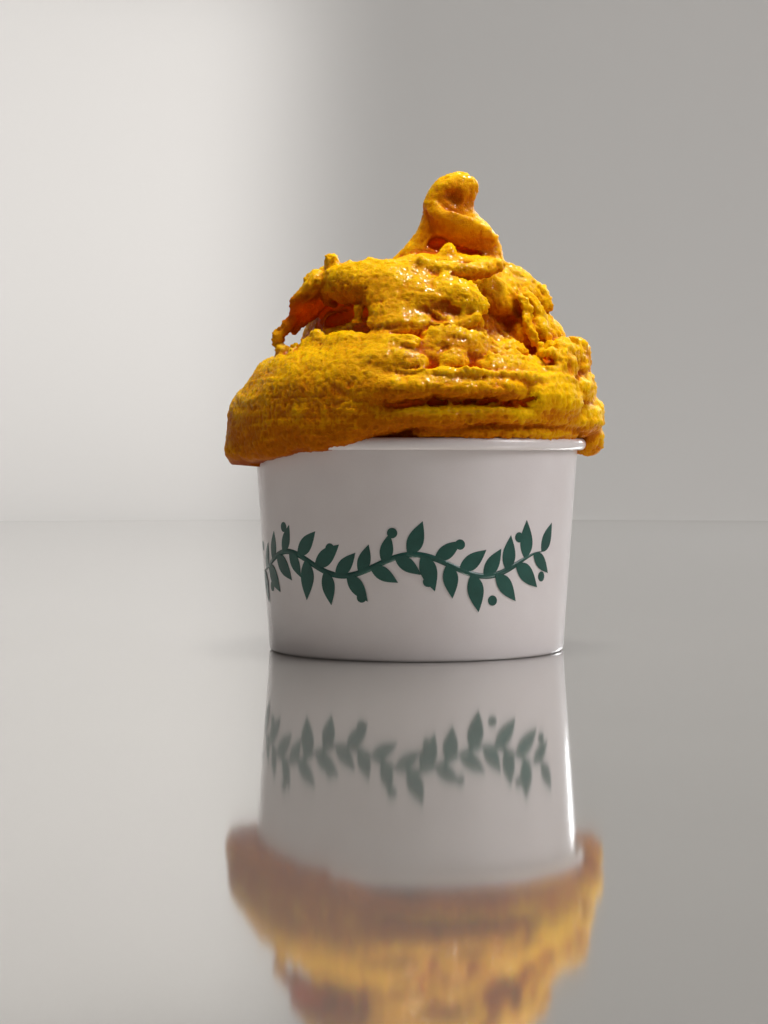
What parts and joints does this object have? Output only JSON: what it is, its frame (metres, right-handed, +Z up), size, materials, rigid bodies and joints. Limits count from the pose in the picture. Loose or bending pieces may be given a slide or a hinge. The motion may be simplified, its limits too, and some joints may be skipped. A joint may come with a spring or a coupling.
{
  "type": "gelato cup",
  "caption": "Round paper cup with a rolled rim and a recessed base, heaped with layered yellow gelato that hangs over the rim and ends in a curled peak.",
  "frame": {"origin": "centre of the cup's foot, on the surface that the cup stands on", "axes": "+Z up along the cup's axis; the front, where the gelato's bands are clearest, faces -Y; +X to the right, with the overhanging lobe at -X"},
  "size_m": [0.1015, 0.0974, 0.1269],
  "materials": {
    "coated_paper": "satin",
    "cup_print": "satin",
    "gelato": "satin"
  },
  "bodies": {
    "root": {"cup_wall": "coated_paper", "cup_base": "coated_paper", "gelato": "gelato"}
  },
  "joints": []
}
